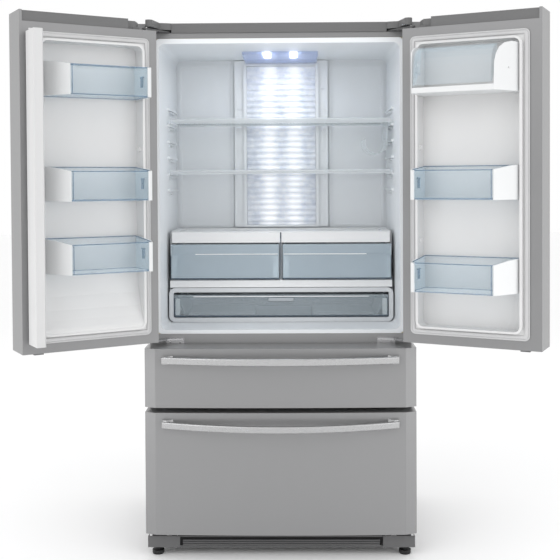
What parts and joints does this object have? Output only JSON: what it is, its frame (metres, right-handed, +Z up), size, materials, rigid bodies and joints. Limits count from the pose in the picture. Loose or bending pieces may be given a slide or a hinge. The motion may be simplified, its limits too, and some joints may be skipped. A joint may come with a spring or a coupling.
{
  "type": "refrigerator",
  "caption": "French door refrigerator with hinged doors open above and freezer drawers below; door bins, shelves, crispers and a lit rear panel.",
  "frame": {"origin": "on the floor, at the middle of the object's plan with its doors open", "axes": "+Z up, front faces -Y, +X to the viewer's right when facing the front"},
  "size_m": [1.7064, 1.0182, 1.8033],
  "materials": {
    "silver_paint": "satin",
    "dark_trim": "matte",
    "back_paint": "satin",
    "black_paint": "satin",
    "white_liner": "semi-gloss",
    "white_plastic": "satin",
    "foam": "matte",
    "hinge_steel": "satin",
    "grey_plastic": "matte",
    "feet_plastic": "matte",
    "copper": "satin",
    "diffuser": "gloss",
    "led": "gloss",
    "shelf_glass": "clear",
    "clear_plastic": "clear",
    "tinted_plastic": "clear",
    "gasket": "matte",
    "bar_steel": "satin"
  },
  "bodies": {
    "cabinet": {"cabinet_shell": "silver_paint", "rear_panel": "back_paint", "fridge_liner": "white_liner", "freezer_liner": "white_liner", "insulation": "foam", "cross_rails": "silver_paint", "top_cover": "dark_trim", "upper_hinges": "hinge_steel", "middle_hinges": "hinge_steel", "hinge_screws": "hinge_steel", "base_frame": "black_paint", "kick_grille": "grey_plastic", "front_feet": "feet_plastic", "compressor": "black_paint", "condenser": "copper", "fan_motor": "grey_plastic", "duct_cover": "white_liner", "light_diffuser": "diffuser", "lamp_lens": "tinted_plastic", "lamp_leds": "led", "shelf_glass": "shelf_glass", "shelf_trims": "white_plastic", "bottle_rack": "clear_plastic", "crisper_shelf": "white_plastic", "pantry_surround": "white_plastic", "drawer_runners": "hinge_steel"},
    "left_door": {"left_skin": "silver_paint", "left_core": "foam", "left_liner": "white_liner", "left_gasket": "gasket", "left_caps": "dark_trim", "left_handle": "bar_steel", "left_bins": "tinted_plastic", "left_bin_ends": "white_plastic", "flap_brackets": "white_plastic"},
    "mullion_flap": {"mullion": "white_plastic"},
    "right_door": {"right_skin": "silver_paint", "right_core": "foam", "right_liner": "white_liner", "right_gasket": "gasket", "right_caps": "dark_trim", "right_handle": "bar_steel", "right_bins": "tinted_plastic", "right_bin_ends": "white_plastic", "dairy_tray": "white_plastic"},
    "dairy_flap": {"dairy_cover": "tinted_plastic"},
    "left_crisper": {"crisper_left": "clear_plastic"},
    "right_crisper": {"crisper_right": "clear_plastic"},
    "pantry": {"pantry_drawer": "clear_plastic", "pantry_latch": "grey_plastic"},
    "upper_drawer": {"upper_front": "silver_paint", "upper_back": "white_liner", "upper_handle": "bar_steel", "upper_basket": "clear_plastic"},
    "lower_drawer": {"lower_front": "silver_paint", "lower_back": "white_liner", "lower_handle": "bar_steel", "lower_basket": "clear_plastic"},
    "wheels": {"rear_rollers": "feet_plastic"},
    "fan": {"fan_rotor": "grey_plastic"}
  },
  "joints": [
    {"name": "left_door_hinge", "type": "hinge", "parent": "cabinet", "child": "left_door", "pos_m": [-0.4455, -0.142, 1.26], "axis": [0, 0, -1], "range_deg": [-149, 0]},
    {"name": "mullion_flip", "type": "hinge", "parent": "left_door", "child": "mullion_flap", "pos_m": [-0.75041, -0.43691, 1.24], "axis": [0, 0, 1], "range_deg": [-90, 0]},
    {"name": "right_door_hinge", "type": "hinge", "parent": "cabinet", "child": "right_door", "pos_m": [0.4455, -0.142, 1.26], "axis": [0, 0, 1], "range_deg": [-154, 0]},
    {"name": "dairy_cover_lift", "type": "hinge", "parent": "right_door", "child": "dairy_flap", "pos_m": [0.56009, -0.33363, 1.606], "axis": [-0.8988, 0.4384, 0], "range_deg": [0, 60]},
    {"name": "crisper_left_slide", "type": "slide", "parent": "cabinet", "child": "left_crisper", "axis": [0, -1, 0], "range_m": [0, 0.27]},
    {"name": "crisper_right_slide", "type": "slide", "parent": "cabinet", "child": "right_crisper", "axis": [0, -1, 0], "range_m": [0, 0.27]},
    {"name": "pantry_slide", "type": "slide", "parent": "cabinet", "child": "pantry", "axis": [0, -1, 0], "range_m": [0, 0.27]},
    {"name": "upper_drawer_slide", "type": "slide", "parent": "cabinet", "child": "upper_drawer", "axis": [0, -1, 0], "range_m": [0, 0.4]},
    {"name": "lower_drawer_slide", "type": "slide", "parent": "cabinet", "child": "lower_drawer", "axis": [0, -1, 0], "range_m": [0, 0.25]},
    {"name": "rear_wheels_spin", "type": "hinge", "parent": "cabinet", "child": "wheels", "pos_m": [0, 0.458, 0.024], "axis": [1, 0, 0], "continuous": true},
    {"name": "fan_spin", "type": "hinge", "parent": "cabinet", "child": "fan", "pos_m": [-0.04, 0.4, 0.13], "axis": [1, 0, 0], "continuous": true}
  ]
}
